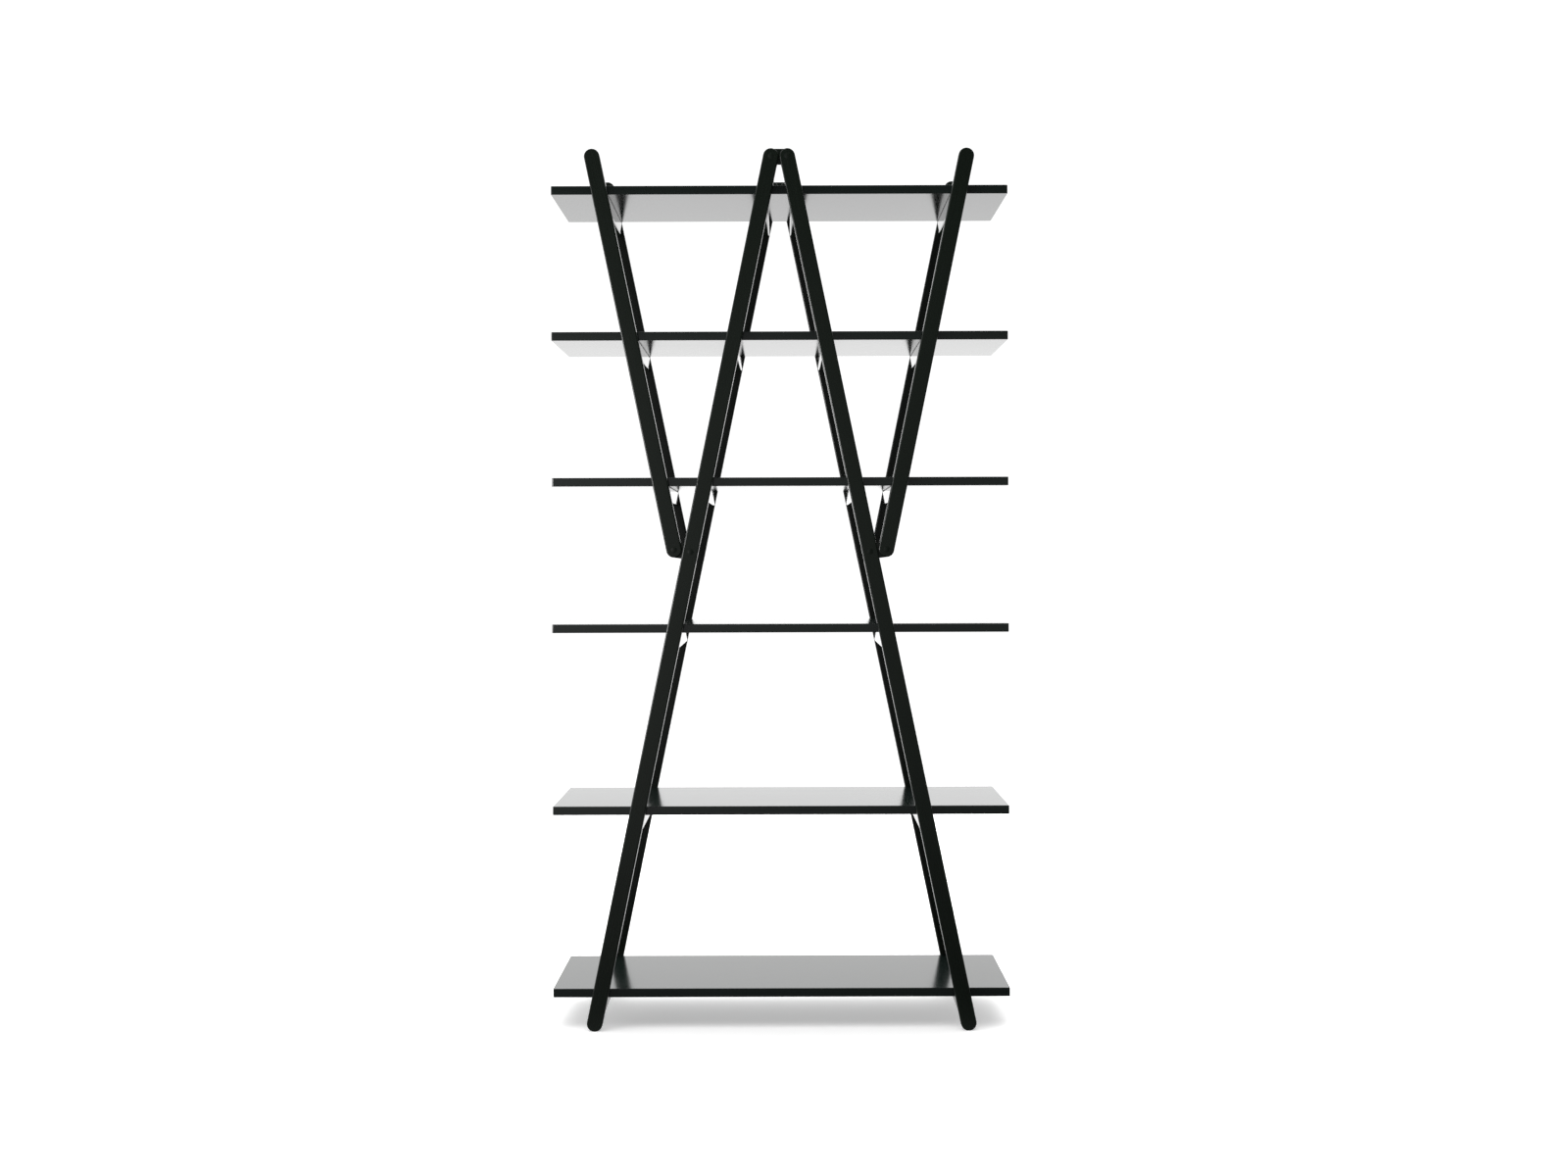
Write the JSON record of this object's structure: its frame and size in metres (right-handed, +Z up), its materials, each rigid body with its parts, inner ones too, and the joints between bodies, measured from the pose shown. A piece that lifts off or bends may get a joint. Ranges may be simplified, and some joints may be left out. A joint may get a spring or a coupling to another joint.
{
  "type": "ladder bookcase",
  "caption": "Folding ladder bookcase: two long ladders form an A, short ladders lean out from halfway up, and loose shelves rest on their rungs.",
  "frame": {"origin": "on the floor, under the middle of the open bookcase", "axes": "+Z up, the front looks towards -Y, +X to the right of someone who faces the front"},
  "size_m": [1, 0.392, 1.92],
  "materials": {
    "frame_lacquer": "satin black lacquer on hardwood, close grain just showing, edges eased",
    "shelf_lacquer": "semi-gloss black lacquer on board, smooth, reflects softly at a low angle",
    "pivot_pins": "black enamelled steel, low domed heads"
  },
  "bodies": {
    "top_links": {"top_front_link": "frame_lacquer", "top_rear_link": "frame_lacquer"},
    "long_left": {"long_left_front_stile": "frame_lacquer", "long_left_rear_stile": "frame_lacquer", "long_left_rung_1": "frame_lacquer", "long_left_rung_2": "frame_lacquer", "long_left_rung_3": "frame_lacquer", "long_left_rung_4": "frame_lacquer", "long_left_rung_5": "frame_lacquer", "long_left_rung_6": "frame_lacquer", "long_left_pins": "pivot_pins"},
    "long_right": {"long_right_front_stile": "frame_lacquer", "long_right_rear_stile": "frame_lacquer", "long_right_rung_1": "frame_lacquer", "long_right_rung_2": "frame_lacquer", "long_right_rung_3": "frame_lacquer", "long_right_rung_4": "frame_lacquer", "long_right_rung_5": "frame_lacquer", "long_right_rung_6": "frame_lacquer", "long_right_pins": "pivot_pins"},
    "left_links": {"left_front_link": "frame_lacquer", "left_rear_link": "frame_lacquer"},
    "right_links": {"right_front_link": "frame_lacquer", "right_rear_link": "frame_lacquer"},
    "short_left": {"short_left_front_stile": "frame_lacquer", "short_left_rear_stile": "frame_lacquer", "short_left_rung_1": "frame_lacquer", "short_left_rung_2": "frame_lacquer", "short_left_rung_3": "frame_lacquer", "short_left_pins": "pivot_pins"},
    "short_right": {"short_right_front_stile": "frame_lacquer", "short_right_rear_stile": "frame_lacquer", "short_right_rung_1": "frame_lacquer", "short_right_rung_2": "frame_lacquer", "short_right_rung_3": "frame_lacquer", "short_right_pins": "pivot_pins"},
    "shelf_1": {"shelf_1": "shelf_lacquer"},
    "shelf_2": {"shelf_2": "shelf_lacquer"},
    "shelf_3": {"shelf_3": "shelf_lacquer"},
    "shelf_4": {"shelf_4": "shelf_lacquer"},
    "shelf_5": {"shelf_5": "shelf_lacquer"},
    "shelf_6": {"shelf_6": "shelf_lacquer"}
  },
  "joints": [
    {"name": "fold_left", "type": "hinge", "parent": "top_links", "child": "long_left", "pos_m": [-0.018, 0, 1.903], "axis": [0, -1, 0], "range_deg": [0, 11.65]},
    {"name": "fold_right", "type": "hinge", "parent": "top_links", "child": "long_right", "pos_m": [0.018, 0, 1.903], "axis": [0, 1, 0], "range_deg": [0, 11.65]},
    {"name": "left_link_turn", "type": "hinge", "parent": "long_left", "child": "left_links", "pos_m": [-0.19546, 0, 1.0423], "axis": [0, 1, 0], "range_deg": [0, 4.15]},
    {"name": "right_link_turn", "type": "hinge", "parent": "long_right", "child": "right_links", "pos_m": [0.19546, 0, 1.0423], "axis": [0, -1, 0], "range_deg": [0, 4.15]},
    {"name": "short_left_fold", "type": "hinge", "parent": "left_links", "child": "short_left", "pos_m": [-0.23115, 0, 1.047], "axis": [0, 1, 0], "range_deg": [0, 19.15]},
    {"name": "short_right_fold", "type": "hinge", "parent": "right_links", "child": "short_right", "pos_m": [0.23115, 0, 1.047], "axis": [0, -1, 0], "range_deg": [0, 19.15]},
    {"name": "shelf_1_slide", "type": "slide", "parent": "top_links", "child": "shelf_1", "axis": [1, 0, 0], "range_m": [-1, 1]},
    {"name": "shelf_2_slide", "type": "slide", "parent": "top_links", "child": "shelf_2", "axis": [1, 0, 0], "range_m": [-1, 1]},
    {"name": "shelf_3_slide", "type": "slide", "parent": "top_links", "child": "shelf_3", "axis": [1, 0, 0], "range_m": [-1, 1]},
    {"name": "shelf_4_slide", "type": "slide", "parent": "top_links", "child": "shelf_4", "axis": [1, 0, 0], "range_m": [-1, 1]},
    {"name": "shelf_5_slide", "type": "slide", "parent": "top_links", "child": "shelf_5", "axis": [1, 0, 0], "range_m": [-1, 1]},
    {"name": "shelf_6_slide", "type": "slide", "parent": "top_links", "child": "shelf_6", "axis": [1, 0, 0], "range_m": [-1, 1]}
  ],
  "couplings": [
    {"joint": "fold_right", "follows": "fold_left", "ratio": 1},
    {"joint": "left_link_turn", "follows": "fold_left", "ratio": 0.35622},
    {"joint": "short_left_fold", "follows": "fold_left", "ratio": 1.6438},
    {"joint": "right_link_turn", "follows": "fold_left", "ratio": 0.35622},
    {"joint": "short_right_fold", "follows": "fold_left", "ratio": 1.6438}
  ]
}
